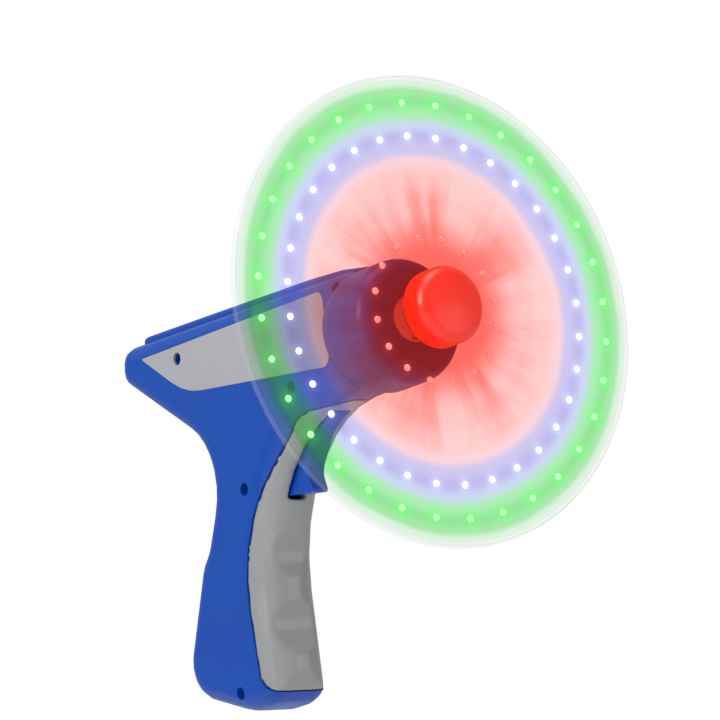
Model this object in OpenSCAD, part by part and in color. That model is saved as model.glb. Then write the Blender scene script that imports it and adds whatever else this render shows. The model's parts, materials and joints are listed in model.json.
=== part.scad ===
// Hand-held light spinner: a pistol-shaped battery handle that spins a clear disc
// set with rings of coloured light studs. All sizes are in millimetres.
// +X runs along the spin axis towards the nose, +Z is up and +Y is the left side.
// The origin is on the spin axis, in the middle of the disc's thickness.

/* [Spinner disc] */
// Radius of the clear disc
disc_r = 88; // [70:1:110]
// Thickness of the clear disc
disc_t = 2; // [1.5:0.1:3]
// Radius of the ring of green studs
green_ring_r = 77.5; // [70:0.5:82]
// Radius of the ring of blue-white studs
blue_ring_r = 65; // [56:0.5:68]
// Radius of the ring of red studs
red_ring_r = 27; // [20:0.5:40]
// Number of studs in the green ring, and in the blue-white ring
outer_studs = 32; // [16:4:40]
// Number of studs in the red ring
red_studs_n = 16; // [8:2:20]
// Diameter of a light stud
stud_d = 2.6; // [2:0.1:3.4]

/* [Nose cap and hub] */
// Radius of the red nose cap
cap_r = 14.6; // [13.5:0.1:18]
// Length of the nose cap in front of the disc
cap_len = 12.6; // [11:0.1:16]
// Radius of the hub flange behind the disc
hub_r = 10; // [9:0.1:11]
// Diameter of the motor shaft
shaft_d = 2; // [1.8:0.1:2.5]

/* [Body] */
// Thickness of the flat part of the body
body_w = 28; // [26:0.5:34]
// Radius of the barrel
barrel_r = 23.5; // [21:0.5:26]
// Distance from the disc back to the barrel's front face
barrel_gap = 13; // [11:0.5:18]
// Wall thickness of the housing
wall = 2.4; // [2:0.1:2.6]
// Height of the top rail above the housing
rail_h = 3; // [2:0.1:4]
// Width of the top rail
rail_w = 13; // [8:0.5:16]
// Depth of the recess that a side panel sits in
recess_d = 1.3; // [1:0.1:1.4]
// Thickness of a side panel
panel_t = 1.1; // [0.8:0.1:1.3]
// Diameter of a screw's access hole
screw_hole_d = 5; // [4.6:0.1:5.4]

/* [Trigger] */
// Width of the trigger
trigger_w = 7; // [5:0.2:9]
// Gap on each side of the trigger in its slot
trigger_gap = 0.5; // [0.3:0.05:1]
// Diameter of the trigger's pivot pin
pin_d = 2.5; // [2:0.1:3]

/* [Batteries] */
// Diameter of one cell
cell_d = 10.5; // [10:0.1:10.5]
// Length of one cell
cell_len = 44.5; // [43:0.1:44.5]

/* [Hidden] */

edge_r = 7;                      // rounding of the housing's long edges
front_r = body_w / 2 - 1;        // fuller rounding of the grip's front
grip_wall = 5.5;                 // the grip front is thicker, for the finger grooves
fit = 0.1;                       // gap between parts that are fitted together
running = 0.05;                  // radial gap of a shaft or pin that turns
step = 12.5;                     // degrees between the points of an arc
half_w = body_w / 2;
inner_w = half_w - wall;         // inner face of a flat side wall
barrel_x = -barrel_gap;          // front face of the barrel
shaft_r = shaft_d / 2;
disc_front = disc_t / 2;
big = 400;

// Side outline of the body: corners as [x, z, radius], anticlockwise from the top front.
body_corners = [
    [-30, 22.8, 8], [-188, 26.6, 7.2], [-190, 13.5, 7.5], [-128.5, -27.5, 26],
    [-146, -61, 14], [-151, -66, 12], [-172, -112, 15], [-132, -125.6, 20],
    [-108.3, -125.2, 14.5], [-108.3, -24.2, 60], [-30, -22, 8]
];
// The same underside and front, carried back, up and down past the body.
front_corners = [
    [-10, 70, 20], [-240, 70, 20], [-240, -160, 20], [-108.3, -160, 20],
    [-108.3, -24.2, 60], [-10, -21.4, 14]
];
// Region of the side outline that the grip's front takes up.
seam_corners = [
    [-50, -22.2, 0], [-76, -22.2, 16], [-122, -57, 62],
    [-118.6, -121.8, 9], [-50, -121.8, 0]
];
// Outline of a side panel: pointed at the back, square at the front.
panel_corners = [[-48.5, 18.6, 4], [-173, 19.5, 0.5], [-145, 0, 40], [-49, -10.2, 4.5]];

// Screws that hold the two halves together, as [x, z].
screw_spots = [[-148, 14.2], [-40, 17.3], [-75.4, -12.4], [-113.6, -43.6], [-132.5, -118.4]];
boss_r = 3.6;
head_d = 4.4;
thread_d = 2.3;
seat_y = -4.5;                   // where the screws' heads sit
thread_end = 7;

// Motor, of the small flat-sided kind, behind the barrel's front wall.
motor_r = 10.1;
motor_flat = 7.6;                // half the distance across its flats
motor_front = -23;
motor_len = 25;
motor_back = motor_front - motor_len;
can_t = 0.7;
rib_t = 2;
rib_spots = [-31, -45];          // back faces of the ribs that hold the motor
bush_r = 3;
holder_r = 8.9;
holder_flange_r = 11;

// Hub, slip rings and boards, from the back of the rotor to its front.
hub_boss_r = 4;
hub_back = -8.5;
hub_flange_t = 3.2;
board_t = 1;
ring_t = 0.2;
inner_ring = [5.6, 7.2];         // radii of the inner slip ring
outer_ring = [8, 9.6];           // radii of the outer slip ring
flange_back = -disc_front - hub_flange_t;
slip_x = flange_back - board_t;  // back face of the slip ring board
spigot_r = 6;
hub_board_r = 11;
hub_screw_ring = 8.2;

// Trigger: where it turns and how it drives the switch.
pivot = [-69, -19];
trigger_corners = [
    [-65, -15.2, 3.5], [-73, -15.2, 2], [-73, -16.8, 0], [-85.5, -16.8, 1],
    [-85.5, -20.8, 2], [-80, -22, 3], [-92, -33, 14], [-102, -48.6, 1.2],
    [-83.7, -50.6, 1.2], [-86.2, -42.6, 7], [-74.5, -27.8, 16], [-65, -24, 3.5]
];
slot_corners = [[-62, -10, 0], [-104, -10, 0], [-106, -49.6, 0], [-75, -52.4, 0], [-64, -30, 0]];
plunger_x = -82;
plunger_r = 1.6;
plunger_tip = -16.6;
switch_w = 6;
switch_z = [-13, -6];

// Battery tray: three cells side by side, two near the door and one between behind them.
tray_at = [-139, 0, -89];
tray_rake = 16;
tray_half_len = 24.7;
tray_half_w = 11.4;
tray_wall = 1.1;
cell_gap = 0.15;
cell_pitch = cell_d + 0.25;
cell_y = 4.6;
cell_spots = [[-cell_pitch / 2, cell_y], [cell_pitch / 2, cell_y],
    [0, cell_y - cell_pitch * sin(60)]];
door_w = 20.6;
door_half_len = 23;
tab_w = 9;
tab_len = 7.4;
door_screw_z = door_half_len + 4;
door_t = wall;
lead_d = 1.3;                    // diameter of an insulated lead

// ---------------------------------------------------------------- outlines

// Signed turn at a corner: positive where the outline turns left.
function turn(a, b, c) = (b[0] - a[0]) * (c[1] - b[1]) - (b[1] - a[1]) * (c[0] - b[0]);
function unit(v) = v / norm(v);
function xz(p) = [p[0], p[1]];
// Points of the rounded corner b between its neighbours a and c.
function corner_points(a, b, c, r) =
    let (u = unit(a - b), v = unit(c - b), half = acos(u * v) / 2)
    r <= 0 || half > 89 ? [b] :
    let (
        centre = b + unit(u + v) * r / sin(half),
        first = b + u * r / tan(half) - centre,
        sweep = (turn(a, b, c) > 0 ? 1 : -1) * (180 - 2 * half),
        count = max(1, ceil(abs(sweep) / step))
    )
    [for (i = [0:count]) let (q = sweep * i / count)
        centre + [first[0] * cos(q) - first[1] * sin(q), first[0] * sin(q) + first[1] * cos(q)]];
// The corner b moved inwards by d, for an outline that runs anticlockwise.
function inset_corner(a, b, c, d) =
    let (u = unit(b - a), v = unit(c - b), n1 = [-u[1], u[0]], n2 = [-v[1], v[0]])
    b + (n1 + n2) * d / (1 + n1 * n2);
// A closed outline with rounded corners, moved inwards by d.
function outline(corners, d = 0) =
    let (
        n = len(corners),
        moved = [for (i = [0:n - 1])
            inset_corner(xz(corners[(i + n - 1) % n]), xz(corners[i]), xz(corners[(i + 1) % n]), d)]
    )
    [for (i = [0:n - 1])
        let (a = moved[(i + n - 1) % n], b = moved[i], c = moved[(i + 1) % n])
        each corner_points(a, b, c, max(0, corners[i][2] + (turn(a, b, c) > 0 ? -d : d)))];

// ---------------------------------------------------------------- shared shapes

// Stands a side outline (x, z) up, from y0 to y1.
module side_slab(points, y0, y1) {
    translate([0, y1, 0]) rotate([90, 0, 0]) linear_extrude(y1 - y0) polygon(points);
}
// Turns a (distance along x, radius) profile about the spin axis.
module spin(points) {
    rotate([0, 90, 0]) rotate_extrude($fn = 96) polygon([for (p = points) [p[1], p[0]]]);
}
// A cylinder along x, from x0 to x1.
module along_x(r, x0, x1) {
    translate([x0, 0, 0]) rotate([0, 90, 0]) cylinder(r = r, h = x1 - x0, $fn = 48);
}
// A cylinder along y through [x, z], from y0 to y1.
module along_y(r, at, y0, y1) {
    translate([at[0], y1, at[1]]) rotate([90, 0, 0]) cylinder(r = r, h = y1 - y0, $fn = 48);
}
module right_half() {
    translate([-big, -big, -big / 2]) cube([2 * big, big, big]);
}
module left_half() {
    translate([-big, 0, -big / 2]) cube([2 * big, big, big]);
}
// A ball with its poles on the y axis, so that a slab rounded by it keeps its full width.
module ball(r, arc_step) {
    rotate([90, 0, 0]) rotate_extrude($fn = 16)
        polygon([for (q = [-90:arc_step:90]) [max(0, r * cos(q)), r * sin(q)]]);
}
module rounded_slab(corners, r, off, arc_step) {
    minkowski() {
        side_slab(outline(corners, r), r - half_w, half_w - r);
        ball(r - off, arc_step);
    }
}
// Flat part of the body with its rounded edges, moved inwards by off.
module body_form(off = 0) {
    intersection() {
        rounded_slab(body_corners, edge_r, off, 22.5);
        rounded_slab(front_corners, front_r, off, 20);
    }
}
// Barrel: a turned nose that flares out of the flat body, moved inwards by off.
module barrel_form(off = 0) {
    nose_r = 6 - off;
    front = barrel_x - off;
    r = barrel_r - off;
    spin(concat(
        [[front, 0]],
        [for (q = [90:-10:0]) [front - nose_r + nose_r * sin(q), r - nose_r + nose_r * cos(q)]],
        [[-34, r], [-40, r - 1.6], [-49, half_w - off - 1], [-60, half_w - off - 4], [-60, 0]]
    ));
}
// A wire along [x, y, z] points, rounded through them.
function blend_point(a, b, c, d, t) = 0.5 * (2 * b + (c - a) * t
    + (2 * a - 5 * b + 4 * c - d) * t * t + (3 * b - a - 3 * c + d) * t * t * t);
function smooth_route(p, parts = 4) =
    let (n = len(p) - 1)
    concat([for (i = [0:n - 1]) for (k = [0:parts - 1])
        blend_point(p[max(0, i - 1)], p[i], p[i + 1], p[min(n, i + 2)], k / parts)], [p[n]]);
module wire(route, d) {
    sides = 8;
    p = smooth_route(route);
    n = len(p);
    points = [for (i = [0:n - 1])
        let (
            t = unit(p[min(n - 1, i + 1)] - p[max(0, i - 1)]),
            u = unit(cross(t, [0.1, 1, 0.2])),
            v = cross(t, u)
        )
        for (k = [0:sides - 1]) p[i] + (u * cos(k * 45) + v * sin(k * 45)) * d / 2];
    polyhedron(points, concat(
        [[for (k = [0:sides - 1]) k]],
        [for (i = [0:n - 2]) for (k = [0:sides - 1])
            let (a = i * sides + k, b = i * sides + (k + 1) % sides)
            each [[a, a + sides, b], [b, a + sides, b + sides]]],
        [[for (k = [sides - 1:-1:0]) (n - 1) * sides + k]]
    ));
}
module tray_frame() {
    translate(tray_at) rotate([0, tray_rake, 0]) children();
}

// ---------------------------------------------------------------- housing

module boss_block() {
    for (at = screw_spots) along_y(boss_r, at, -half_w, half_w);
    for (x = rib_spots) translate([x, -half_w, -30]) cube([rib_t, body_w + 30, 60]);
    for (x = rib_spots) translate([x, -30, -30]) cube([rib_t, 60, 60]);
    // pivot bosses, and the seat of the switch
    along_y(3, pivot, -half_w, -trigger_w / 2 - 0.3);
    along_y(3, pivot, trigger_w / 2 + 2.6, half_w);
    translate([plunger_x - switch_w / 2 - 2.1, -half_w, switch_z[0]])
        cube([2, body_w, switch_z[1] - switch_z[0] + 1.5]);
}
module cavity() {
    difference() {
        union() {
            body_form(wall);
            barrel_form(wall);
        }
        boss_block();
    }
}
module motor_outline(gap = 0) {
    intersection() {
        along_x(motor_r + gap, motor_back - 4, motor_front);
        translate([motor_back - 5, -20, -motor_flat - gap])
            cube([motor_len + 10, 40, 2 * (motor_flat + gap)]);
    }
}
module shell_cuts() {
    cavity();
    side_slab(outline(seam_corners), -30, 30);
    motor_outline(fit);
    // opening for the brush holder, and the way past the ribs for the leads
    along_x(holder_r + fit, barrel_x - 20, barrel_x + 1);
    along_x(holder_flange_r + fit, motor_front - 1, barrel_x - wall + 0.2);
    translate([motor_back - 1, -7, -18]) cube([motor_len - 2, 14, 7]);
    // room for the trigger and its pin
    side_slab(outline(slot_corners), -trigger_w / 2 - trigger_gap, trigger_w / 2 + trigger_gap);
    along_y(pin_d / 2, pivot, -inner_w + 0.4, inner_w - 0.4);
}
module panel_recess(side) {
    y = side * (half_w - recess_d);
    side_slab(outline(panel_corners), min(y, side * 30), max(y, side * 30));
}
module rail_groove() {
    along_rail() translate([-148, -2, -1.6]) cube([130, 4, 5]);
}
// Frame that lies along the sloping top of the housing, with z = 0 on the surface.
module along_rail() {
    slope = atan((body_corners[1][1] - body_corners[0][1])
        / (body_corners[0][0] - body_corners[1][0]));
    translate([body_corners[0][0], 0, body_corners[0][1]]) rotate([0, slope, 0]) children();
}
module outer_shell() {
    difference() {
        union() {
            body_form();
            barrel_form();
        }
        shell_cuts();
        rail_groove();
    }
}

module housing_right() color("royalblue") {
    difference() {
        intersection() {
            outer_shell();
            right_half();
        }
        panel_recess(-1);
        for (at = screw_spots) {
            along_y(screw_hole_d / 2, at, -40, seat_y);
            along_y(thread_d / 2 + 0.2, at, seat_y - 1, 1);
        }
    }
}

module housing_left() color("royalblue") {
    difference() {
        intersection() {
            outer_shell();
            left_half();
        }
        panel_recess(1);
        for (at = screw_spots) along_y(thread_d / 2, at, -1, thread_end + 1);
        door_plate(fit, half_w - door_t - 1, 30);
    }
}

// Cross-section of the rail, with its two top edges rounded.
module rail_section() {
    translate([-160, 0, 0]) rotate([90, 0, 90]) linear_extrude(180)
        polygon(outline([[rail_w / 2, -3, 0], [rail_w / 2, rail_h + 0.4, 2.2],
            [-rail_w / 2, rail_h + 0.4, 2.2], [-rail_w / 2, -3, 0]]));
}
module top_rail() color("royalblue") {
    difference() {
        along_rail() union() {
            intersection() {
                side_slab(outline([[2, 0.02, 0], [-14, rail_h * 0.7, 18], [-36, rail_h, 20],
                    [-149, rail_h + 0.4, 2.4], [-149.5, 0.02, 0]]), -20, 20);
                rail_section();
            }
            translate([-147, -2 + fit, -1.5]) cube([125, 4 - 2 * fit, 2]);
        }
        barrel_form(-fit);
    }
}

module side_panel(side) {
    y0 = side * (half_w - recess_d);
    y1 = y0 + side * panel_t;
    difference() {
        side_slab(outline(panel_corners, fit), min(y0, y1), max(y0, y1));
        if (side < 0) along_y(screw_hole_d / 2, screw_spots[0], -30, 0);
    }
}
module side_panel_right() color("darkgray") side_panel(-1);
module side_panel_left() color("darkgray") side_panel(1);

module grip_front() color("gray") {
    groove_r = 16;
    difference() {
        intersection() {
            body_form();
            side_slab(outline(seam_corners, fit), -30, 30);
        }
        difference() {
            side_slab(outline(body_corners, grip_wall), grip_wall - half_w, half_w - grip_wall);
            // tabs that the two halves trap
            for (z = [-72, -108]) translate([-125, -8, z]) cube([20, 16, 2]);
        }
        side_slab(outline(slot_corners), -trigger_w / 2 - trigger_gap, trigger_w / 2 + trigger_gap);
        along_y(groove_r, [-111.8 + groove_r, -97], -30, 30);
        along_y(groove_r, [-109 + groove_r, -72], -30, 30);
        along_y(3.2, pivot, -30, 30);
        along_y(boss_r + fit, screw_spots[3], -30, 30);
    }
}

module screw(head, head_h, body, length) {
    union() {
        cylinder(d = head, h = head_h, $fn = 32);
        translate([0, 0, -length]) cylinder(d = body, h = length + 0.1, $fn = 32);
    }
}
module cross_recess(size, depth) {
    for (a = [0, 90]) rotate([0, 0, a]) translate([-size / 2, -size / 8, -depth])
        cube([size, size / 4, depth + 1]);
}
module housing_screws() color("silver") {
    head_h = 1.8;
    for (at = screw_spots) translate([at[0], seat_y, at[1]]) rotate([90, 0, 0])
        difference() {
            screw(head_d, head_h, thread_d, thread_end - seat_y);
            translate([0, 0, head_h]) cross_recess(2.6, 0.9);
        }
}

// ---------------------------------------------------------------- nose and motor

module brush_holder() color("ivory") {
    difference() {
        union() {
            along_x(holder_flange_r, barrel_x - wall - 2, barrel_x - wall);
            along_x(holder_r, barrel_x - wall - 2, barrel_x - 0.4);
        }
        along_x(bush_r, -30, 0);
        for (z = [(inner_ring[0] + inner_ring[1]) / 2, -(outer_ring[0] + outer_ring[1]) / 2 + 1.5])
            translate([-30, -1.6, z - 0.5]) cube([40, 3.2, 1]);
    }
}
module front_bush() color("peru") {
    difference() {
        along_x(bush_r, barrel_x - wall - 3, barrel_x + 0.4);
        along_x(shaft_r + running, -30, 0);
    }
}
// Spring leaf from the holder to a slip ring, at height z, bowed towards z_tip.
module brush_leaf(z, z_tip) {
    leaf_t = 0.3;
    tip = slip_x - ring_t - 0.08;
    back = barrel_x - wall - 2.6;
    bend = barrel_x + 0.6;
    lift = sign(z_tip - z) * leaf_t;
    points = [[back, z], [bend, z], [tip - 0.4, z_tip - lift], [tip, z_tip - lift],
        [tip, z_tip], [tip - 0.6, z_tip + lift], [bend - 0.2, z + lift], [back, z + lift]];
    side_slab(points, -1.4, 1.4);
}
module contact_brushes() color("goldenrod") {
    inner = (inner_ring[0] + inner_ring[1]) / 2;
    outer = (outer_ring[0] + outer_ring[1]) / 2;
    brush_leaf(inner - 0.2, inner + 0.4);
    brush_leaf(-outer + 1.6, -outer);
}

module motor_can() color("silver") {
    difference() {
        intersection() {
            along_x(motor_r, motor_back, motor_front);
            translate([-60, -20, -motor_flat]) cube([50, 40, 2 * motor_flat]);
        }
        intersection() {
            along_x(motor_r - can_t, motor_back - 1, motor_front - can_t);
            translate([-60, -20, -motor_flat + can_t]) cube([50, 40, 2 * (motor_flat - can_t)]);
        }
        along_x(shaft_r + running, -60, 0);
    }
}
module motor_magnets() color("dimgray") {
    inner = 7.7;
    for (side = [-1, 1]) intersection() {
        difference() {
            along_x(motor_r - can_t - 0.05, motor_back + 4, motor_front - 3);
            along_x(inner, motor_back, motor_front);
        }
        translate([-60, side > 0 ? 3 : -23, -5.5]) cube([60, 20, 11]);
    }
}
module motor_end_bell() color("white") {
    difference() {
        intersection() {
            along_x(motor_r, motor_back - 3, motor_back);
            translate([-60, -20, -motor_flat]) cube([50, 40, 2 * motor_flat]);
        }
        along_x(shaft_r + running, -60, 0);
        along_x(4, motor_back - 1.4, motor_back + 1);
        for (y = [-6, 6]) translate([-60, y - 1.2, -0.3]) cube([30, 2.4, 0.6]);
    }
}
module motor_terminals() color("goldenrod") {
    for (y = [-6, 6]) translate([motor_back - 5.6, y - 1.1, -0.25]) cube([6.4, 2.2, 0.5]);
}
module motor_shaft() color("lightgray") {
    along_x(shaft_r, motor_back - 1.2, disc_front);
}
module motor_armature() color("brown") {
    difference() {
        union() {
            along_x(2.4, motor_back + 0.6, motor_back + 4);
            for (a = [0, 120, 240]) rotate([a, 0, 0]) intersection() {
                along_x(motor_flat - can_t - 0.3, motor_back + 5, motor_front - 4.5);
                translate([-60, -2.4, 1.5]) cube([60, 4.8, 8]);
            }
            along_x(3, motor_back + 4, motor_front - 4);
        }
        along_x(shaft_r, -60, 0);
    }
}

// ---------------------------------------------------------------- rotor

module spinner_disc() color("palegreen", 0.4) {
    rim = 1.6;
    difference() {
        spin([[-disc_front, spigot_r + fit], [disc_front, spigot_r + fit],
            [disc_front, disc_r - rim], [disc_front + 0.4, disc_r - rim + 0.4],
            [disc_front + 0.4, disc_r - 0.4], [disc_front, disc_r],
            [-disc_front, disc_r], [-disc_front - 0.4, disc_r - 0.4],
            [-disc_front - 0.4, disc_r - rim + 0.4], [-disc_front, disc_r - rim]]);
        hub_screw_holes(0.9);
    }
}
module hub_screw_holes(r) {
    for (a = [0, 120, 240]) rotate([a, 0, 0]) translate([0, 0, hub_screw_ring])
        along_x(r, -10, 10);
}
// A ring of domed studs on the disc's front face.
module studs(ring_r, count, lead) {
    r = stud_d / 2;
    dome = 0.7;
    for (i = [0:count - 1]) rotate([lead + i * 360 / count, 0, 0])
        translate([disc_front, 0, ring_r]) rotate([0, 90, 0]) rotate_extrude($fn = 24)
            polygon(concat([[0, 0], [r, 0]],
                [for (q = [0:22.5:90]) [r * cos(q), 0.3 + dome * sin(q)]]));
}
module green_studs() color("lime") studs(green_ring_r, outer_studs, 2.5);
module blue_studs() color("lavender") studs(blue_ring_r, outer_studs, 2.5);
module red_studs() color("tomato") studs(red_ring_r, red_studs_n, 8);

module rotor_hub() color("white") {
    difference() {
        spin([[hub_back, 0], [hub_back, hub_boss_r], [flange_back, hub_boss_r],
            [flange_back, hub_r], [-disc_front, hub_r], [-disc_front, spigot_r],
            [disc_front, spigot_r], [disc_front, 0]]);
        along_x(shaft_r, -20, 20);
        hub_screw_holes(0.7);
    }
}
module slip_ring_board() color("darkgreen") {
    difference() {
        along_x(hub_r, slip_x, flange_back);
        along_x(hub_boss_r, -20, 0);
        hub_screw_holes(0.9);
    }
}
module slip_rings() color("gold") {
    for (ring = [inner_ring, outer_ring]) difference() {
        along_x(ring[1], slip_x - ring_t, slip_x);
        along_x(ring[0], -20, 0);
    }
}
module hub_board() color("darkgreen") {
    difference() {
        along_x(hub_board_r, disc_front, disc_front + board_t);
        hub_screw_holes(0.9);
    }
}
module hub_chip() color("black") {
    translate([disc_front + board_t, -2, -2]) cube([1, 4, 4]);
}
module hub_leds() color("white") {
    for (i = [0:5]) rotate([30 + 60 * i, 0, 0])
        translate([disc_front + board_t, -1.4, hub_board_r - 3.2]) union() {
            cube([1, 2.8, 2]);
            translate([0.8, 1.4, 1.9]) cylinder(r = 0.8, h = 0.8, $fn = 24);
        }
}
module hub_screws() color("silver") {
    for (a = [0, 120, 240]) rotate([a, 0, 0])
        translate([disc_front + board_t, 0, hub_screw_ring]) rotate([0, 90, 0])
            difference() {
                screw(2.6, 1, 1.4, disc_t + board_t + 2.6);
                translate([0, 0, 1]) cross_recess(1.6, 0.5);
            }
}
module nose_cap() color("orangered") {
    back = disc_front;
    front = back + cap_len;
    round_r = 4.6;
    crown = 0.9;
    skin = 1.6;
    inner = cap_r - skin;
    spin(concat(
        [[back, hub_board_r + fit], [back, cap_r - 0.4], [back + 0.4, cap_r]],
        [for (q = [0:12:84]) [front - crown - round_r + round_r * sin(q),
            cap_r - round_r + round_r * cos(q)]],
        [[front - crown * 0.5, (cap_r - round_r) * 0.72], [front, (cap_r - round_r) * 0.3],
            [front, 0], [front - skin, 0], [front - skin - crown, inner - round_r]],
        [for (q = [80:-20:0]) [front - skin - crown - round_r + round_r * sin(q),
            inner - round_r + round_r * cos(q)]],
        [[back + board_t + 1.4, inner], [back + board_t + 0.4, hub_board_r + fit]]
    ));
}

// ---------------------------------------------------------------- trigger and switch

module trigger() color("royalblue") {
    difference() {
        side_slab(outline(trigger_corners), -trigger_w / 2, trigger_w / 2);
        along_y(pin_d / 2 + running, pivot, -20, 20);
    }
}
module trigger_pin() color("silver") {
    along_y(pin_d / 2, pivot, -inner_w + 0.4, inner_w - 0.4);
}
module trigger_spring() color("gray") {
    wire_d = 0.6;
    coil_r = pin_d / 2 + 1;
    y0 = trigger_w / 2 + 0.55;
    for (i = [0:2]) translate([pivot[0], y0 + i * wire_d * 0.9, pivot[1]]) rotate([90, 0, 0])
        rotate_extrude($fn = 48) translate([coil_r, 0]) circle(d = wire_d, $fn = 16);
    // one leg lies over the trigger's arm, the other stands against the screw boss
    leg_d = wire_d * 1.25;
    translate([pivot[0] + 0.4, y0, pivot[1] + coil_r]) rotate([0, -90, 0])
        cylinder(d = leg_d, h = 9, $fn = 16);
    translate([pivot[0] - coil_r, y0 + 2 * wire_d * 0.9, pivot[1] - 0.4])
        cylinder(d = leg_d, h = 7, $fn = 16);
}
module switch_body() color("black") {
    z0 = switch_z[0];
    difference() {
        translate([plunger_x - switch_w / 2, -3, z0]) cube([switch_w, 6, switch_z[1] - z0]);
        translate([plunger_x, 0, z0 - 1]) cylinder(r = plunger_r + running, h = 6.4, $fn = 32);
    }
}
module switch_terminals() color("silver") {
    for (x = [-1.8, 1.8]) translate([plunger_x + x - 0.3, -1, switch_z[1]]) cube([0.6, 2, 2.4]);
}
module switch_plunger() color("white") {
    translate([plunger_x, 0, plunger_tip]) rotate_extrude($fn = 32)
        polygon([[0, 0], [0.9, 0], [plunger_r, 0.5], [plunger_r, 5.4], [0, 5.4]]);
}

// ---------------------------------------------------------------- batteries

module battery_tray() color("dimgray") {
    inner_len = tray_half_len - tray_wall;
    tray_frame() difference() {
        union() {
            translate([0, 0, -tray_half_len]) linear_extrude(2 * tray_half_len)
                polygon([[-tray_half_w, -2], [-6, -10.6], [6, -10.6], [tray_half_w, -2],
                    [tray_half_w, 9.4], [-tray_half_w, 9.4]]);
            // lug that takes the door's screw
            translate([-3.6, -2, tray_half_len - 0.1]) cube([7.2, 13.4, 6]);
        }
        for (at = cell_spots) {
            translate([at[0], at[1], -inner_len])
                cylinder(d = cell_d + 2 * cell_gap, h = 2 * inner_len, $fn = 64);
            translate([at[0] - cell_d / 2, at[1], -inner_len])
                cube([cell_d, 20, 2 * inner_len]);
        }
        translate([0, 20, door_screw_z]) rotate([90, 0, 0])
            cylinder(d = thread_d + 2 * running, h = 18, $fn = 32);
    }
}
module battery_cells() color("gold") {
    shoulder = 0.5;
    nub = 1;
    tray_frame() for (i = [0:2]) translate([cell_spots[i][0], cell_spots[i][1], 0])
        rotate([i == 1 ? 180 : 0, 0, 0]) translate([0, 0, tray_half_len - tray_wall - 0.5 - cell_len])
            rotate_extrude($fn = 64) polygon([[0, 0], [cell_d / 2 - shoulder, 0],
                [cell_d / 2, shoulder], [cell_d / 2, cell_len - nub - shoulder],
                [cell_d / 2 - shoulder, cell_len - nub], [1.9, cell_len - nub],
                [1.9, cell_len], [0, cell_len]]);
}
module battery_springs() color("silver") {
    wire_d = 0.55;
    floor_z = -tray_half_len + tray_wall;
    turns = 5;
    rise = 2 * (tray_half_len - tray_wall) - 0.5 - cell_len - wire_d;
    tray_frame() for (i = [0:2]) translate([cell_spots[i][0], cell_spots[i][1], 0])
        rotate([i == 1 ? 180 : 0, 0, 0]) union() {
            for (k = [0:turns - 1])
                translate([0, 0, floor_z + wire_d / 2 + rise * k / (turns - 1)])
                    rotate_extrude($fn = 48) translate([3.4 - 0.25 * k, 0])
                        circle(d = wire_d, $fn = 16);
        }
}
module battery_plates() color("silver") {
    tray_frame() for (i = [0:2]) translate([cell_spots[i][0], cell_spots[i][1], 0])
        rotate([i == 1 ? 180 : 0, 0, 0])
            translate([0, 0, tray_half_len - tray_wall - 0.5]) cylinder(r = 3.6, h = 0.5, $fn = 48);
}
// Plate of the battery door, grown by gap, from y0 out to y1.
module door_plate(gap, y0, y1) {
    w = door_w / 2 + gap;
    top = door_half_len + tab_len + gap;
    tray_frame() translate([0, y1, 0]) rotate([90, 0, 0]) linear_extrude(y1 - y0)
        polygon(outline([[w, -door_half_len - gap, 2], [w, door_half_len + gap, 2],
            [tab_w / 2 + gap, door_half_len + gap, 0.5], [tab_w / 2 + gap, top, 2],
            [-tab_w / 2 - gap, top, 2], [-tab_w / 2 - gap, door_half_len + gap, 0.5],
            [-w, door_half_len + gap, 2], [-w, -door_half_len - gap, 2]]));
}
module battery_door() color("royalblue") {
    difference() {
        door_plate(0, half_w - door_t, half_w);
        tray_frame() {
            translate([0, half_w + 1, door_screw_z]) rotate([90, 0, 0])
                cylinder(d = head_d + 0.3, h = 2.1, $fn = 48);
            translate([0, half_w + 1, door_screw_z]) rotate([90, 0, 0])
                cylinder(d = thread_d + 0.3, h = 10, $fn = 32);
            // finger grooves that help to pull the door off
            for (z = [-18:3:-9]) translate([-5, half_w - 0.5, z]) cube([10, 1, 1.2]);
        }
    }
}
module door_screw() color("silver") {
    tray_frame() translate([0, half_w - 1.1, door_screw_z]) rotate([-90, 0, 0]) difference() {
        screw(head_d, 0.9, thread_d, 7);
        translate([0, 0, 0.9]) cross_recess(2.6, 0.5);
    }
}

// ---------------------------------------------------------------- leads

module switch_lead() color("red") {
    wire([[-126.4, -5, -66.6], [-125.8, -5, -64.6], [-124.6, -3, -54], [-122.5, 0, -44],
        [-112, 1, -30], [-99, 1, -14],
        [-90, 1, -3.2], [-85, 0, -2.4], [-83.8, 0, -2.9]], lead_d);
}
module battery_lead() color("black") {
    wire([[-133.1, -5, -64.7], [-132.5, -5, -62.7], [-131, -5, -52], [-126, -5, -38], [-114, -6, -22], [-98, -6, -6],
        [-78, -6.5, 1], [-62, -6.5, 1.5], [-55, -6, 1.6]], lead_d);
}
module motor_lead() color("red") {
    wire([[-80.2, 0, -2.9], [-78.5, 1, -1.5], [-73, 4, 0.5], [-62, 6, 1.5], [-55, 6, 1.6]], lead_d);
}
module brush_leads() color("orange") {
    for (side = [-1, 1])
        wire([[-53.4, side * 6, -1], [-54.4, side * 5.6, -7], [-50, side * 5, -13.4],
            [-40, side * 5, -14.4], [-28, side * 5, -14.4], [-22, side * 4.6, -10],
            [-18.2, side * 4.4, -5]], lead_d);
}

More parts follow.
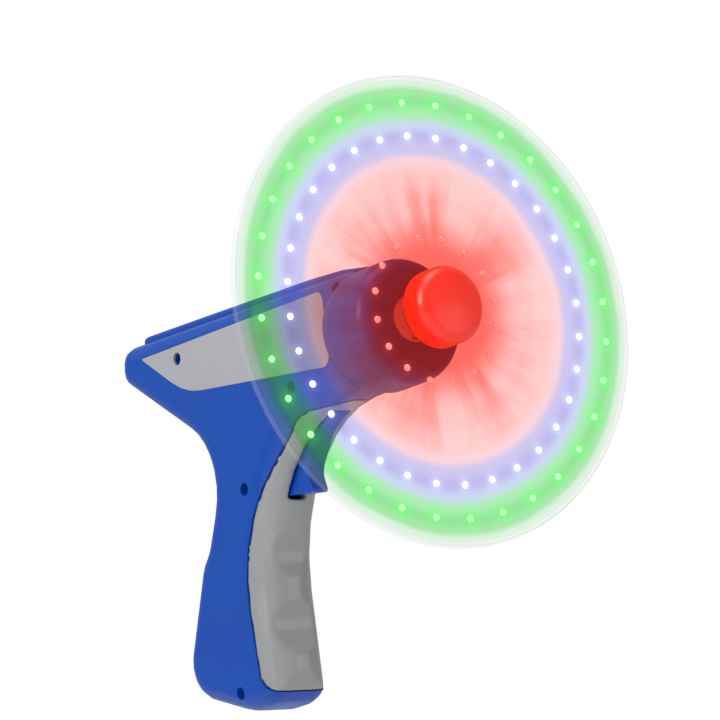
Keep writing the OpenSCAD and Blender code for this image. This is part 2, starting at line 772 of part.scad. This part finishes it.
housing_right();
housing_left();
top_rail();
side_panel_right();
side_panel_left();
grip_front();
housing_screws();
brush_holder();
front_bush();
contact_brushes();
motor_can();
motor_magnets();
motor_end_bell();
motor_terminals();
switch_body();
switch_terminals();
trigger_pin();
trigger_spring();
battery_tray();
battery_cells();
battery_springs();
battery_plates();
switch_lead();
battery_lead();
motor_lead();
brush_leads();
spinner_disc();
green_studs();
blue_studs();
red_studs();
rotor_hub();
slip_ring_board();
slip_rings();
hub_board();
hub_chip();
hub_leds();
hub_screws();
nose_cap();
motor_shaft();
motor_armature();
trigger();
switch_plunger();
battery_door();
door_screw();
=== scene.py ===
"""A hand-held light spinner: its housing, grip, trigger, nose cap and glowing disc."""
import math
import json

import bmesh
import bpy
from mathutils import Matrix, Vector


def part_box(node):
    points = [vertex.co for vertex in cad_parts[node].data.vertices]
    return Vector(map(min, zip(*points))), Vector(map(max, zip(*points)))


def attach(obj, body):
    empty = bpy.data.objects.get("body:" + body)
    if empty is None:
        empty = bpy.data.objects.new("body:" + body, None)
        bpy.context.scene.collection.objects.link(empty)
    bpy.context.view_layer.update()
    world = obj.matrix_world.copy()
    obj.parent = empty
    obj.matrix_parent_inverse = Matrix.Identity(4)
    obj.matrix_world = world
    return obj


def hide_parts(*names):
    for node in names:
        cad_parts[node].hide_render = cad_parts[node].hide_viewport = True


bl_info = {
    "name": "Light spinner",
    "version": (1, 0, 0),
    "blender": (4, 5, 0),
    "location": "3D View > Sidebar > Light Spinner",
    "description": "Builds a hand-held light spinner around its packed model",
    "category": "Add Mesh",
}

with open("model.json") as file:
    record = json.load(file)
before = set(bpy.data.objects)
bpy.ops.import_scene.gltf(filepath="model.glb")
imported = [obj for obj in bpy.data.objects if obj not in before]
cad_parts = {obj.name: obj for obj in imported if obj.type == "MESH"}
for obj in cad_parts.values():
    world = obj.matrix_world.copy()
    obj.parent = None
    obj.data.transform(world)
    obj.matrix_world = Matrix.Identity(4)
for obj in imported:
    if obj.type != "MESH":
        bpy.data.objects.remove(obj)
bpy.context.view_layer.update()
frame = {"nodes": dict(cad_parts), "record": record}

MM = 0.001
DISC_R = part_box("spinner_disc")[1].z
# Studs in each ring, and the angle from +Y at which a ring starts.
OUTER_STUDS = 32
RED_STUDS = 16
GREEN_LEAD = math.radians(2.5)
RED_LEAD = math.radians(8)


def srgb(r, g, b, a=1.0):
    """A colour given as screen values from 0 to 255, as linear light."""
    def linear(c):
        c /= 255
        return c / 12.92 if c <= 0.04045 else ((c + 0.055) / 1.055) ** 2.4
    return (linear(r), linear(g), linear(b), a)


# ------------------------------------------------------------------ settings

def colour(name, description, value):
    return bpy.props.FloatVectorProperty(name=name, description=description, subtype="COLOR",
                                         size=4, min=0, max=1, default=value)


def length(name, description, value_mm):
    return bpy.props.FloatProperty(name=name, description=description, unit="LENGTH",
                                   subtype="DISTANCE", min=0, precision=5, default=value_mm * MM)


class SpinnerColours(bpy.types.PropertyGroup):
    blue: colour("Blue", "Housing, rail, trigger and battery door", srgb(6, 72, 170))
    panel_grey: colour("Panel grey", "Side panels", srgb(166, 166, 170))
    grip_grey: colour("Grip grey", "Front of the grip", srgb(150, 150, 152))
    cap_red: colour("Cap red", "Nose cap", srgb(250, 38, 14))
    green_light: colour("Green light", "Outer studs", srgb(150, 250, 150))
    blue_light: colour("Blue light", "Middle studs", srgb(226, 232, 255))
    red_light: colour("Red light", "Inner studs", srgb(255, 110, 96))
    floor: colour("Floor", "Studio floor", srgb(250, 250, 250))


class SpinnerSizes(bpy.types.PropertyGroup):
    edge: length("Edge", "Softened edge of a moulded part", 0.35)
    fine_edge: length("Fine edge", "Softened edge of a thin part", 0.15)
    grip_voxel: length("Grip detail", "Size of the grip front's finest detail", 0.75)
    green_ring: length("Green ring", "Radius of the ring of green studs", 77.5)
    blue_ring: length("Blue ring", "Radius of the ring of blue-white studs", 65)
    red_ring: length("Red ring", "Radius of the ring of red studs", 27)
    floor_drop: length("Floor drop", "How far the floor lies below the spin axis", 420)


def colours():
    return bpy.context.scene.spinner_colours


def sizes():
    return bpy.context.scene.spinner_sizes


# ------------------------------------------------------------------ node helpers

class Nodes:
    """A material's node tree, with short calls for the nodes that these finishes share."""

    def __init__(self, name):
        self.material = bpy.data.materials.new(name)
        self.material.use_nodes = True
        self.tree = self.material.node_tree
        self.tree.nodes.clear()
        self.output = self.add("ShaderNodeOutputMaterial")

    def add(self, kind, **settings):
        node = self.tree.nodes.new(kind)
        for key, value in settings.items():
            setattr(node, key, value)
        return node

    def put(self, value, socket):
        """Sets a socket to a plain value, or links another node's output to it."""
        if isinstance(value, bpy.types.NodeSocket):
            self.tree.links.new(value, socket)
        else:
            socket.default_value = value

    def place(self):
        return self.add("ShaderNodeTexCoord").outputs["Object"]

    def math(self, operation, a, b=0.0, clamp=False):
        node = self.add("ShaderNodeMath", operation=operation, use_clamp=clamp)
        self.put(a, node.inputs[0])
        self.put(b, node.inputs[1])
        return node.outputs[0]

    def noise(self, scale, detail=3.0, roughness=0.5, vector=None):
        node = self.add("ShaderNodeTexNoise")
        self.put(vector or self.place(), node.inputs["Vector"])
        node.inputs["Scale"].default_value = scale
        node.inputs["Detail"].default_value = detail
        node.inputs["Roughness"].default_value = roughness
        return node.outputs["Fac"]

    def between(self, value, low, high, from_low=0.3, from_high=0.7):
        node = self.add("ShaderNodeMapRange", interpolation_type="SMOOTHSTEP")
        self.put(value, node.inputs["Value"])
        for key, number in (("From Min", from_low), ("From Max", from_high),
                            ("To Min", low), ("To Max", high)):
            self.put(number, node.inputs[key])
        return node.outputs["Result"]

    def mix(self, factor, a, b, blend="MIX"):
        node = self.add("ShaderNodeMix", data_type="RGBA", blend_type=blend)
        self.put(factor, node.inputs["Factor"])
        self.put(a, node.inputs["A"])
        self.put(b, node.inputs["B"])
        return node.outputs["Result"]

    def ramp(self, value, stops, interpolation="EASE"):
        node = self.add("ShaderNodeValToRGB")
        self.put(value, node.inputs["Fac"])
        node.color_ramp.interpolation = interpolation
        elements = node.color_ramp.elements
        while len(elements) > 1:
            elements.remove(elements[-1])
        elements[0].position, elements[0].color = stops[0]
        for position, tint in stops[1:]:
            elements.new(position).color = tint
        return node.outputs["Color"]

    def bump(self, height, strength, distance):
        node = self.add("ShaderNodeBump")
        node.inputs["Strength"].default_value = strength
        node.inputs["Distance"].default_value = distance
        self.put(height, node.inputs["Height"])
        return node.outputs["Normal"]

    def principled(self, **inputs):
        node = self.add("ShaderNodeBsdfPrincipled")
        for key, value in inputs.items():
            self.put(value, node.inputs[key.replace("_", " ")])
        return node

    def show(self, shader):
        self.put(shader.outputs[0], self.output.inputs["Surface"])
        return self.material


def shade(tint, factor):
    return (tint[0] * factor, tint[1] * factor, tint[2] * factor, 1.0)


# ------------------------------------------------------------------ finishes

MADE = {}


def finish(name):
    """The material of that name, made on its first use."""
    if name not in MADE:
        MADE[name] = FINISHES[name](name)
    return MADE[name]


def moulded(name, tint, rough_low, rough_high, grain=0.05, coat=0.0, mottle=0.94, shine=0.5):
    """Injection-moulded plastic: faint flow marks, uneven gloss and a fine eroded grain."""
    n = Nodes(name)
    flow = n.noise(22, 4)
    patch = n.noise(70, 3, 0.6)
    base = n.mix(n.between(flow, 0, 1), shade(tint, mottle), shade(tint, 1.03))
    rough = n.between(patch, rough_low, rough_high)
    grained = n.bump(n.noise(2600, 2), grain, 0.00005)
    surface = n.principled(Base_Color=base, Roughness=rough, Normal=grained, Coat_Weight=coat,
                           Coat_Roughness=0.15, Specular_IOR_Level=shine)
    return n.show(surface)


def blue_plastic(name):
    return moulded(name, colours().blue, 0.26, 0.38, 0.05, 0.04, shine=0.32)


def grey_plastic(name):
    return moulded(name, colours().panel_grey, 0.42, 0.54, 0.1)


def grip_plastic(name):
    return moulded(name, colours().grip_grey, 0.2, 0.3, 0.03, 0.25)


def white_plastic(name):
    return moulded(name, srgb(232, 230, 222), 0.4, 0.5)


def black_plastic(name):
    return moulded(name, srgb(30, 30, 32), 0.4, 0.55, 0.1, mottle=0.8)


def red_plastic(name):
    """Translucent red cap, with a faint painted glow as if lit from inside by the hub's lamps.
    """
    n = Nodes(name)
    tint = colours().cap_red
    patch = n.noise(60, 3)
    base = n.mix(n.between(n.noise(40, 3), 0, 1), shade(tint, 0.93), shade(tint, 1.0))
    # the emission is a painted glow; the cap itself is not a lamp
    surface = n.principled(Base_Color=base, Roughness=n.between(patch, 0.28, 0.38),
                           Normal=n.bump(n.noise(2200, 2), 0.05, 0.00005),
                           Emission_Color=tint, Emission_Strength=0.16, Coat_Weight=0.1,
                           Coat_Roughness=0.12)
    return n.show(surface)


def metal(name, tint, rough_low, rough_high):
    n = Nodes(name)
    streak = n.noise(900, 3, 0.7)
    base = n.mix(n.between(n.noise(160, 3), 0, 1), shade(tint, 0.86), tint)
    surface = n.principled(Base_Color=base, Metallic=1.0, Normal=n.bump(streak, 0.12, 0.00004),
                           Roughness=n.between(streak, rough_low, rough_high))
    return n.show(surface)


def screw_steel(name):
    return metal(name, srgb(190, 190, 192), 0.25, 0.42)


def can_steel(name):
    return metal(name, srgb(204, 204, 200), 0.2, 0.34)


def bronze(name):
    return metal(name, srgb(206, 160, 92), 0.22, 0.38)


def armature_copper(name):
    """Enamelled winding wire: fine turns along the rotor."""
    n = Nodes(name)
    wave = n.add("ShaderNodeTexWave", wave_type="BANDS", bands_direction="X")
    n.put(n.place(), wave.inputs["Vector"])
    wave.inputs["Scale"].default_value = 900
    wave.inputs["Distortion"].default_value = 0.6
    base = n.mix(wave.outputs["Fac"], srgb(112, 48, 22), srgb(196, 104, 52))
    surface = n.principled(Base_Color=base, Metallic=0.7,
                           Roughness=n.between(n.noise(300), 0.3, 0.45),
                           Normal=n.bump(wave.outputs["Fac"], 0.5, 0.0001))
    return n.show(surface)


def ferrite(name):
    return moulded(name, srgb(44, 44, 46), 0.55, 0.7, 0.3, mottle=0.8)


def circuit_board(name):
    """Green solder mask with the weave of the laminate just showing."""
    n = Nodes(name)
    weave = n.noise(1500, 2)
    base = n.mix(n.between(n.noise(240, 2), 0, 1), srgb(8, 70, 34), srgb(16, 98, 48))
    surface = n.principled(Base_Color=base, Roughness=n.between(weave, 0.25, 0.4),
                           Normal=n.bump(weave, 0.1, 0.00004), Coat_Weight=0.2)
    return n.show(surface)


def cell_jacket(name):
    """Plain dark foil wrap."""
    n = Nodes(name)
    base = n.mix(n.between(n.noise(120), 0, 1), srgb(30, 30, 34), srgb(48, 48, 54))
    surface = n.principled(Base_Color=base, Metallic=0.4, Coat_Weight=0.3,
                           Roughness=n.between(n.noise(500), 0.2, 0.3))
    return n.show(surface)


def red_insulation(name):
    return moulded(name, srgb(190, 24, 20), 0.4, 0.5)


def black_insulation(name):
    return moulded(name, srgb(26, 26, 28), 0.4, 0.5)


def lamp(name, tint, strength):
    """A lit stud: its glow, flecked a little towards white."""
    n = Nodes(name)
    glow = n.mix(n.between(n.noise(1400, 2), 0, 0.25), tint, (1, 1, 1, 1))
    surface = n.principled(Base_Color=glow, Roughness=0.2, Emission_Color=glow,
                           Emission_Strength=strength)
    return n.show(surface)


def green_light(name):
    return lamp(name, colours().green_light, 0.55)


def blue_light(name):
    return lamp(name, colours().blue_light, 0.7)


def red_light(name):
    return lamp(name, colours().red_light, 0.2)


def led_epoxy(name):
    return lamp(name, srgb(255, 236, 220), 1.5)


def clear_plastic(name):
    """Clear moulded plastic for the disc's back and rim."""
    n = Nodes(name)
    clear = n.add("ShaderNodeBsdfTransparent")
    cloud = n.between(n.noise(30, 2), 0, 1)
    n.put(n.mix(cloud, (0.95, 0.97, 0.955, 1), (0.97, 0.985, 0.975, 1)), clear.inputs["Color"])
    skin = n.principled(Base_Color=(0.9, 0.93, 0.92, 1),
                        Roughness=n.between(n.noise(90), 0.08, 0.16))
    joined = n.add("ShaderNodeMixShader")
    joined.inputs["Fac"].default_value = 0.06
    n.put(clear.outputs[0], joined.inputs[1])
    n.put(skin.outputs[0], joined.inputs[2])
    return n.show(joined)


# Radii are shares of the disc's radius. Each stop is what the disc lets through there: the
# dimming of its clear plastic, with the band colours painted in from the studs' light on the
# spinning disc.
FILTER_AND_PAINTED_TINT_STOPS = [
    (0.00, srgb(254, 104, 96)), (0.22, srgb(254, 108, 100)), (0.33, srgb(253, 122, 114)),
    (0.45, srgb(252, 152, 146)), (0.56, srgb(252, 186, 184)), (0.635, srgb(250, 212, 216)),
    (0.68, srgb(206, 198, 232)), (0.74, srgb(190, 184, 228)), (0.79, srgb(206, 212, 238)),
    (0.83, srgb(176, 232, 182)), (0.89, srgb(146, 220, 148)), (0.93, srgb(168, 230, 170)),
    (0.965, srgb(226, 243, 226)), (0.99, srgb(238, 243, 238)), (1.0, srgb(222, 228, 224)),
]
# And each of these is the painted glow it adds, standing in for the studs' light on the spinning
# disc.
PAINTED_GLOW_STOPS = [
    (0.00, srgb(132, 30, 20)), (0.30, srgb(128, 32, 24)), (0.45, srgb(112, 46, 40)),
    (0.60, srgb(92, 52, 52)), (0.68, srgb(70, 66, 104)), (0.75, srgb(72, 68, 110)),
    (0.82, srgb(46, 92, 66)), (0.89, srgb(52, 104, 58)), (0.95, srgb(40, 62, 44)),
    (1.0, srgb(36, 38, 36)),
]


def ring_halo(n, angle, radius, ring, count, lead, spread):
    """How near a point is to the nearest stud of a ring: 1 at a stud, falling to 0."""
    pitch = math.tau / count
    turn = n.math("DIVIDE", n.math("SUBTRACT", angle, lead - pitch / 2 - math.tau), pitch)
    along = n.math("MULTIPLY", n.math("SUBTRACT", n.math("FRACT", turn), 0.5), pitch * ring)
    across = n.math("SUBTRACT", radius, ring)
    square = n.math("ADD", n.math("MULTIPLY", along, along), n.math("MULTIPLY", across, across))
    return n.math("EXPONENT", n.math("MULTIPLY", square, -1 / spread ** 2))


def disc_glow(name):
    """Painted bands of the studs' light on the disc's front: red inside, then lavender, then
    green, then clear.
    """
    n = Nodes(name)
    s = sizes()
    axes = n.add("ShaderNodeSeparateXYZ")
    n.put(n.place(), axes.inputs[0])
    y, z = axes.outputs["Y"], axes.outputs["Z"]
    radius = n.math("SQRT", n.math("ADD", n.math("MULTIPLY", y, y), n.math("MULTIPLY", z, z)))
    angle = n.math("ARCTAN2", z, y)
    share = n.math("DIVIDE", radius, DISC_R)
    ray = n.add("ShaderNodeCombineXYZ")
    n.put(n.math("DIVIDE", y, radius), ray.inputs["X"])
    n.put(n.math("DIVIDE", z, radius), ray.inputs["Y"])
    n.put(n.math("MULTIPLY", share, 0.35), ray.inputs["Z"])
    streaks = n.between(n.noise(3.4, 3, 0.55, ray.outputs[0]), 0, 1, 0.34, 0.66)
    cloud = n.noise(34, 3, 0.6)
    wobble = n.math("MULTIPLY", n.math("SUBTRACT", cloud, 0.5), 0.03)
    soft_share = n.math("ADD", share, wobble)
    through = n.ramp(soft_share, FILTER_AND_PAINTED_TINT_STOPS)
    glow = n.ramp(soft_share, PAINTED_GLOW_STOPS)
    # painted light: paler and deeper rays across the red part, the studs' light streaked by the
    # spinning blades
    inner = n.between(share, 1, 0, 0.56, 0.66)
    past_hub = n.between(share, 0, 1, 0.24, 0.44)
    rays = n.math("MULTIPLY", n.math("MULTIPLY", streaks, inner), past_hub)
    through = n.mix(n.math("MULTIPLY", rays, 0.62), through, srgb(255, 222, 222))
    # painted glow round each stud
    green = ring_halo(n, angle, radius, s.green_ring, OUTER_STUDS, GREEN_LEAD, 3.4 * MM)
    blue = ring_halo(n, angle, radius, s.blue_ring, OUTER_STUDS, GREEN_LEAD, 2.4 * MM)
    red = ring_halo(n, angle, radius, s.red_ring, RED_STUDS, RED_LEAD, 2.2 * MM)
    through = n.mix(n.math("MULTIPLY", green, 0.55), through, srgb(96, 214, 100))
    through = n.mix(n.math("MULTIPLY", blue, 0.45), through, srgb(226, 230, 252))
    through = n.mix(n.math("MULTIPLY", red, 0.4), through, srgb(255, 100, 92))
    glow = n.mix(n.math("MULTIPLY", green, 0.8), glow, srgb(70, 170, 76))
    glow = n.mix(n.math("MULTIPLY", blue, 0.5), glow, srgb(132, 140, 206))
    glow = n.mix(n.math("MULTIPLY", red, 0.6), glow, srgb(200, 60, 50))
    # the disc is not a lamp: this emission is the studs' light, painted on
    clear = n.add("ShaderNodeBsdfTransparent")
    n.put(through, clear.inputs["Color"])
    light = n.add("ShaderNodeEmission")
    n.put(glow, light.inputs["Color"])
    light.inputs["Strength"].default_value = 0.8
    both = n.add("ShaderNodeAddShader")
    n.put(clear.outputs[0], both.inputs[0])
    n.put(light.outputs[0], both.inputs[1])
    return n.show(both)


def backdrop(name):
    n = Nodes(name)
    tint = colours().floor
    base = n.mix(n.between(n.noise(3, 2), 0, 1), shade(tint, 0.99), tint)
    return n.show(n.principled(Base_Color=base, Roughness=0.9))


FINISHES = {f.__name__: f for f in (
    blue_plastic, grey_plastic, grip_plastic, white_plastic, black_plastic, red_plastic,
    screw_steel, can_steel, bronze, armature_copper, ferrite, circuit_board, cell_jacket,
    red_insulation, black_insulation, green_light, blue_light, red_light, led_epoxy,
    clear_plastic, disc_glow, backdrop)}


# ------------------------------------------------------------------ mesh helpers

def mesh_object(name, bm, *finishes):
    """A finished piece: its place is in its mesh, and its object sits at the origin."""
    mesh = bpy.data.meshes.new(name)
    bmesh.ops.recalc_face_normals(bm, faces=bm.faces)
    bm.to_mesh(mesh)
    bm.free()
    for one in finishes:
        mesh.materials.append(finish(one))
    piece = bpy.data.objects.new(name, mesh)
    bpy.context.scene.collection.objects.link(piece)
    return piece


def merged_copy(node):
    """A bmesh of a CAD node with its loose triangles joined and its flat faces whole."""
    bm = bmesh.new()
    bm.from_mesh(frame["nodes"][node].data)
    bmesh.ops.remove_doubles(bm, verts=bm.verts, dist=2e-6)
    bmesh.ops.dissolve_limit(bm, angle_limit=math.radians(0.5), verts=bm.verts, edges=bm.edges)
    return bm


def smooth_by_angle(piece, degrees, flatten=True):
    """Smooth shading up to that angle, led by the larger faces where flatten is set."""
    mesh = piece.data
    mesh.polygons.foreach_set("use_smooth", [True] * len(mesh.polygons))
    mesh.set_sharp_from_angle(angle=math.radians(degrees))
    if flatten:
        weighted = piece.modifiers.new("even_shading", "WEIGHTED_NORMAL")
        weighted.keep_sharp = True


def stands_for(piece, body, slot, *nodes):
    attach(piece, body)
    if nodes:
        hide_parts(*nodes)


def softened(name, node, body, slot, edge, angle=42):
    """The CAD node's shape with its hard edges rounded, as a moulding's are."""
    piece = mesh_object(name, merged_copy(node), slot)
    rounding = piece.modifiers.new("soft_edges", "BEVEL")
    rounding.width = edge
    rounding.segments = 2
    rounding.limit_method = "ANGLE"
    rounding.angle_limit = math.radians(angle)
    rounding.use_clamp_overlap = True
    rounding.harden_normals = False
    smooth_by_angle(piece, angle)
    stands_for(piece, body, slot, node)
    return piece


def applied(piece):
    """Applies a piece's modifiers to its mesh."""
    graph = bpy.context.evaluated_depsgraph_get()
    made = bpy.data.meshes.new_from_object(piece.evaluated_get(graph))
    piece.modifiers.clear()
    piece.data = made
    return piece


# ------------------------------------------------------------------ pieces



class SPINNER_OT_stage(bpy.types.Operator):
    """Camera, floor, soft lights and a white surround"""
    bl_idname = "spinner.stage"
    bl_label = "Stage"

    def execute(self, context):
        scene = context.scene
        scene.view_settings.view_transform = "Standard"
        # The toy is pitched nose-up and turned away from the camera.
        pitch = math.radians(12.31)
        turn = math.radians(54.348)
        right = Vector((math.cos(turn) * math.cos(pitch), math.sin(turn),
                        -math.cos(turn) * math.sin(pitch)))
        up = Vector((math.sin(pitch), 0, math.cos(pitch)))
        back = right.cross(up)
        middle = -26.947 * MM * right - 18.046 * MM * up
        distance = 2.0
        data = bpy.data.cameras.new("camera")
        data.lens = 275.24
        data.sensor_width = 36
        data.clip_end = 20
        camera = bpy.data.objects.new("camera", data)
        placed = Matrix((right, up, back)).transposed().to_4x4()
        placed.translation = middle + distance * back
        camera.matrix_world = placed
        scene.collection.objects.link(camera)
        scene.camera = camera

        bm = bmesh.new()
        bmesh.ops.create_grid(bm, x_segments=8, y_segments=8, size=6,
                              matrix=Matrix.Translation((0, 0, -sizes().floor_drop)))
        mesh_object("floor", bm, "backdrop")

        self.area("key", -right * 1.2 + up * 0.8 + back * 1.1, 0.8, 19)
        self.area("top", up * 1.6 - right * 0.1 + back * 0.1, 1.2, 13)
        self.area("side", right * 1.5 + up * 0.2 + back * 0.6, 0.7, 2)
        self.surround(scene)
        return {"FINISHED"}

    def area(self, name, place, size, power):
        data = bpy.data.lights.new(name, "AREA")
        data.size = size
        data.energy = power
        light = bpy.data.objects.new(name, data)
        facing = place.to_track_quat("Z", "Y").to_matrix().to_4x4()
        light.matrix_world = Matrix.Translation(place) @ facing
        bpy.context.scene.collection.objects.link(light)

    def surround(self, scene):
        """White to look at, and softer as a source of light."""
        world = bpy.data.worlds.new("surround")
        world.use_nodes = True
        tree = world.node_tree
        shown = tree.nodes["Background"]
        shown.inputs["Color"].default_value = (1, 1, 1, 1)
        shown.inputs["Strength"].default_value = 1.0
        lit = tree.nodes.new("ShaderNodeBackground")
        lit.inputs["Color"].default_value = (0.96, 0.98, 1, 1)
        lit.inputs["Strength"].default_value = 0.4
        path = tree.nodes.new("ShaderNodeLightPath")
        chosen = tree.nodes.new("ShaderNodeMixShader")
        tree.links.new(path.outputs["Is Camera Ray"], chosen.inputs["Fac"])
        tree.links.new(lit.outputs[0], chosen.inputs[1])
        tree.links.new(shown.outputs[0], chosen.inputs[2])
        tree.links.new(chosen.outputs[0], tree.nodes["World Output"].inputs["Surface"])
        scene.world = world


class SPINNER_OT_housing(bpy.types.Operator):
    """The two blue halves of the housing"""
    bl_idname = "spinner.housing"
    bl_label = "Housing"

    def execute(self, context):
        edge = sizes().edge
        softened("shell_right", "housing_right", "handle", "blue_plastic", edge)
        softened("shell_left", "housing_left", "handle", "blue_plastic", edge)
        return {"FINISHED"}


class SPINNER_OT_rail(bpy.types.Operator):
    """The rail along the top of the housing"""
    bl_idname = "spinner.rail"
    bl_label = "Top rail"

    def execute(self, context):
        softened("sight_rail", "top_rail", "handle", "blue_plastic", sizes().edge)
        return {"FINISHED"}


class SPINNER_OT_panels(bpy.types.Operator):
    """The grey panels set into the two sides"""
    bl_idname = "spinner.panels"
    bl_label = "Side panels"

    def execute(self, context):
        for side in ("right", "left"):
            softened("panel_" + side, "side_panel_" + side, "handle", "grey_plastic",
                     sizes().fine_edge)
        return {"FINISHED"}


class SPINNER_OT_grip(bpy.types.Operator):
    """The grey front of the grip, with its soft finger swells"""
    bl_idname = "spinner.grip"
    bl_label = "Grip front"

    def execute(self, context):
        piece = mesh_object("grip_swell", merged_copy("grip_front"), "grip_plastic")
        remesh = piece.modifiers.new("even_mesh", "REMESH")
        remesh.mode = "VOXEL"
        remesh.voxel_size = sizes().grip_voxel
        smooth = piece.modifiers.new("soft_form", "SMOOTH")
        smooth.factor = 0.5
        smooth.iterations = 16
        applied(piece)
        piece.data.materials.clear()
        piece.data.materials.append(finish("grip_plastic"))
        smooth_by_angle(piece, 60, flatten=False)
        stands_for(piece, "handle", "grip_plastic", "grip_front")
        return {"FINISHED"}


class SPINNER_OT_trigger(bpy.types.Operator):
    """The trigger"""
    bl_idname = "spinner.trigger"
    bl_label = "Trigger"

    def execute(self, context):
        softened("finger_trigger", "trigger", "trigger", "blue_plastic", 0.6 * MM, 30)
        return {"FINISHED"}


class SPINNER_OT_door(bpy.types.Operator):
    """The battery door on the left half"""
    bl_idname = "spinner.door"
    bl_label = "Battery door"

    def execute(self, context):
        softened("cell_door", "battery_door", "battery_door", "blue_plastic", sizes().fine_edge)
        return {"FINISHED"}


class SPINNER_OT_cap(bpy.types.Operator):
    """The red nose cap"""
    bl_idname = "spinner.cap"
    bl_label = "Nose cap"

    def execute(self, context):
        low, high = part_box("nose_cap")
        back, front, r = low.x, high.x, high.z
        profile = cap_profile(back, front, r)
        bm = bmesh.new()
        ring = [bm.verts.new((x, 0, height)) for x, height in profile]
        edges = [bm.edges.new(pair) for pair in zip(ring, ring[1:])]
        bmesh.ops.spin(bm, geom=ring + edges, cent=(0, 0, 0), axis=(1, 0, 0),
                       angle=math.tau, steps=96, use_merge=True)
        bmesh.ops.remove_doubles(bm, verts=bm.verts, dist=1e-6)
        piece = mesh_object("domed_cap", bm, "red_plastic")
        smooth_by_angle(piece, 50)
        stands_for(piece, "rotor", "red_plastic", "nose_cap")
        return {"FINISHED"}


def arc(centre, radius, start, end, steps):
    """Points along an arc, from one angle to another in degrees."""
    points = []
    for i in range(steps + 1):
        q = math.radians(start + (end - start) * i / steps)
        points.append((centre[0] + radius * math.cos(q), centre[1] + radius * math.sin(q)))
    return points


def cap_profile(back, front, r):
    """Outside then inside of the cap, as (along the axis, radius), closed on the axis."""
    corner = 4.6 * MM       # rounding between its side and its face
    crown = 0.9 * MM        # rise of the face
    skin = 1.6 * MM         # wall
    lip = 0.4 * MM          # rounding of the back edge
    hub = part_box("hub_board")[1].z + 0.1 * MM
    shoulder = (front - crown - corner, r - corner)
    outside = [(back, hub)] + arc((back + lip, r - lip), lip, 180, 90, 4)
    outside += arc(shoulder, corner, 90, 8, 12)
    face = r - corner
    outside += [(front - crown * (k / 6) ** 2, face * k / 6) for k in (5, 4, 3, 2, 1, 0)]
    inside = [(front - skin - crown * (k / 6) ** 2, face * k / 6) for k in (0, 2, 4, 5)]
    inside += arc(shoulder, corner - skin, 8, 90, 8)
    inside += [(back + 2.4 * MM, r - skin), (back + 1.4 * MM, hub), (back, hub)]
    return outside + inside[:-1] + [outside[0]]


class SPINNER_OT_disc(bpy.types.Operator):
    """The clear disc with its painted bands of light"""
    bl_idname = "spinner.disc"
    bl_label = "Spinner disc"

    def execute(self, context):
        bm = bmesh.new()
        bm.from_mesh(frame["nodes"]["spinner_disc"].data)
        bmesh.ops.remove_doubles(bm, verts=bm.verts, dist=2e-6)
        for face in bm.faces:
            face.material_index = 1 if face.normal.x > 0.99 else 0
        mesh = bpy.data.meshes.new("light_disc")
        bm.to_mesh(mesh)
        bm.free()
        for one in ("clear_plastic", "disc_glow"):
            mesh.materials.append(finish(one))
        piece = bpy.data.objects.new("light_disc", mesh)
        context.scene.collection.objects.link(piece)
        smooth_by_angle(piece, 30)
        stands_for(piece, "rotor", "clear_plastic", "spinner_disc")
        return {"FINISHED"}


class SPINNER_OT_finishes(bpy.types.Operator):
    """Gives every CAD node that still shows its own finish"""
    bl_idname = "spinner.finishes"
    bl_label = "Inner parts' finishes"

    def execute(self, context):
        for row in frame["record"]["subparts"]:
            node = frame["nodes"][row["node"]]
            node.data.materials.clear()
            node.data.materials.append(finish(row["material_slot"]))
        return {"FINISHED"}


class SPINNER_PT_panel(bpy.types.Panel):
    """Lists the spinner's pieces in the sidebar"""
    bl_idname = "SPINNER_PT_panel"
    bl_label = "Light Spinner"
    bl_space_type = "VIEW_3D"
    bl_region_type = "UI"
    bl_category = "Light Spinner"

    def draw(self, context):
        layout = self.layout
        for group in (context.scene.spinner_sizes, context.scene.spinner_colours):
            for key in group.__annotations__:
                layout.prop(group, key)
        for operator in PIECES:
            layout.operator(operator.bl_idname)


PIECES = (
    SPINNER_OT_stage, SPINNER_OT_finishes, SPINNER_OT_housing, SPINNER_OT_rail,
    SPINNER_OT_panels, SPINNER_OT_grip, SPINNER_OT_trigger, SPINNER_OT_door,
    SPINNER_OT_cap, SPINNER_OT_disc,
)
CLASSES = (SpinnerColours, SpinnerSizes, *PIECES, SPINNER_PT_panel)


def register():
    for one in CLASSES:
        bpy.utils.register_class(one)
    bpy.types.Scene.spinner_colours = bpy.props.PointerProperty(type=SpinnerColours)
    bpy.types.Scene.spinner_sizes = bpy.props.PointerProperty(type=SpinnerSizes)


def unregister():
    del bpy.types.Scene.spinner_sizes
    del bpy.types.Scene.spinner_colours
    for one in reversed(CLASSES):
        bpy.utils.unregister_class(one)


def main():
    register()
    bpy.ops.spinner.stage()
    bpy.ops.spinner.finishes()
    bpy.ops.spinner.housing()
    bpy.ops.spinner.rail()
    bpy.ops.spinner.panels()
    bpy.ops.spinner.grip()
    bpy.ops.spinner.trigger()
    bpy.ops.spinner.door()
    bpy.ops.spinner.cap()
    bpy.ops.spinner.disc()


if __name__ == "__main__":
    main()
